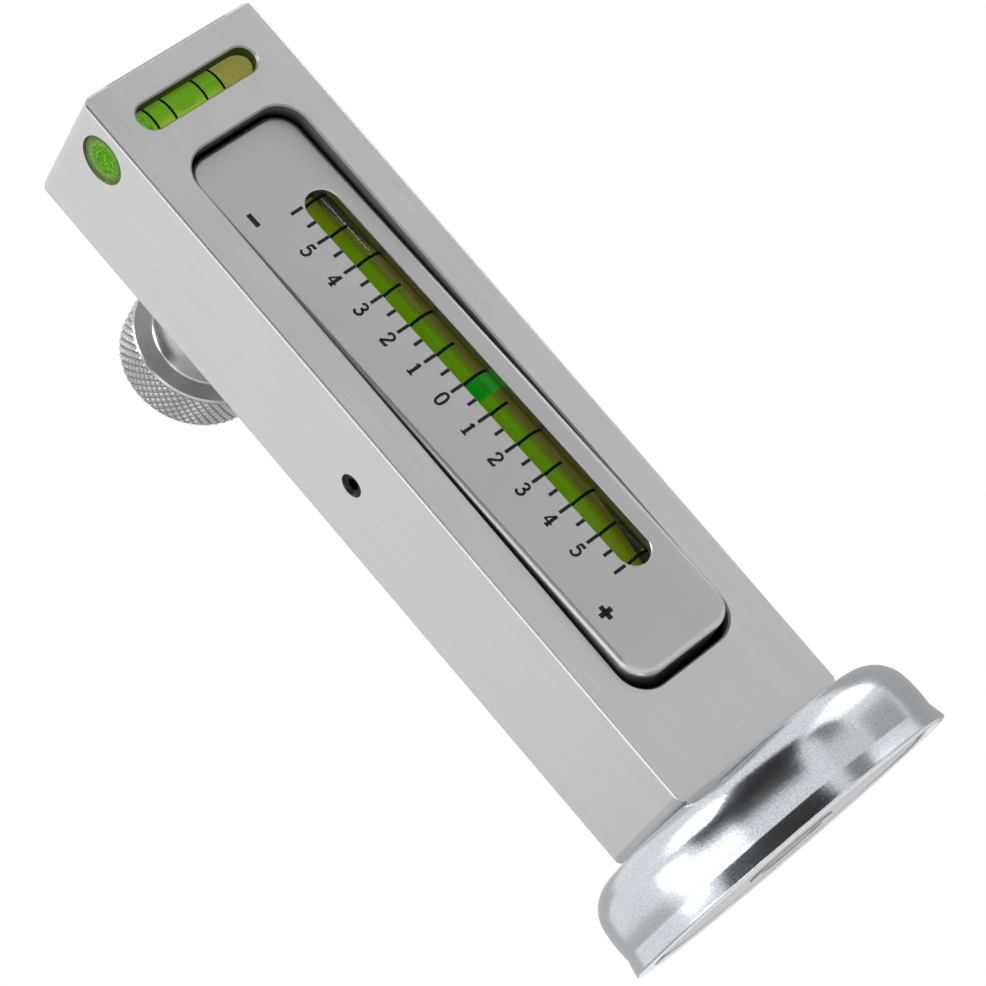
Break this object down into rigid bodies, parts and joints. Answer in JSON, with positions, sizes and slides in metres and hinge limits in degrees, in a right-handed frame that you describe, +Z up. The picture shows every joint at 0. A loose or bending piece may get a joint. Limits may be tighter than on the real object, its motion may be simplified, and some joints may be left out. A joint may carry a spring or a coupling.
{
  "type": "camber caster gauge",
  "caption": "Magnetic camber gauge: a bar on a pot magnet, with a tilting spirit-vial plate set by a rear thumb screw and a cross vial at the top.",
  "frame": {"origin": "centre of the pot magnet's contact face, with the gauge standing on its magnet", "axes": "+Z up along the bar, the reading face looks along -Y, +X to the reader's right, the thumb screw points along +Y"},
  "size_m": [0.06, 0.071, 0.152],
  "materials": {
    "anodised_bar": "satin",
    "rocker_plate": "satin",
    "knob_metal": "satin",
    "bright_steel": "polished",
    "black_screw": "satin",
    "zinc_plate": "polished",
    "nickel_plate": "satin",
    "epoxy": "matte",
    "vial_acrylic": "gloss",
    "vial_liquid": "gloss",
    "nylon": "matte"
  },
  "bodies": {
    "frame": {"body": "anodised_bar", "cross_vial": "vial_acrylic", "cross_vial_liquid": "vial_liquid", "cross_vial_plugs": "vial_acrylic", "pivot_pin": "bright_steel", "pivot_set_screw": "black_screw", "return_spring": "bright_steel", "magnet_cup": "zinc_plate", "ring_magnet": "nickel_plate", "magnet_potting": "epoxy", "centre_pole": "zinc_plate", "magnet_screw": "bright_steel"},
    "rocker": {"rocker": "rocker_plate", "camber_vial": "vial_acrylic", "camber_vial_liquid": "vial_liquid", "camber_vial_plugs": "vial_acrylic", "vial_retainer": "nylon"},
    "screw_tip": {"thrust_ball": "bright_steel"},
    "thumb_screw": {"adjuster_knob": "knob_metal", "adjuster_screw": "bright_steel"}
  },
  "joints": [
    {"name": "rocker_tilt", "type": "hinge", "parent": "frame", "child": "rocker", "pos_m": [0, 0, 0.083], "axis": [1, 0, 0], "range_deg": [-0.2, 4.4], "deforming": ["return_spring"]},
    {"name": "screw_feed", "type": "slide", "parent": "frame", "child": "screw_tip", "axis": [0, 1, 0], "range_m": [-0.003, 0.00013]},
    {"name": "knob_turn", "type": "hinge", "parent": "screw_tip", "child": "thumb_screw", "pos_m": [0, 0.022, 0.1225], "axis": [0, 1, 0], "range_deg": [-1080.1, 45.1]}
  ],
  "couplings": [
    {"joint": "knob_turn", "follows": "screw_feed", "rad_per_m": 6283.2},
    {"joint": "rocker_tilt", "follows": "screw_feed", "rad_per_m": -25.317}
  ]
}
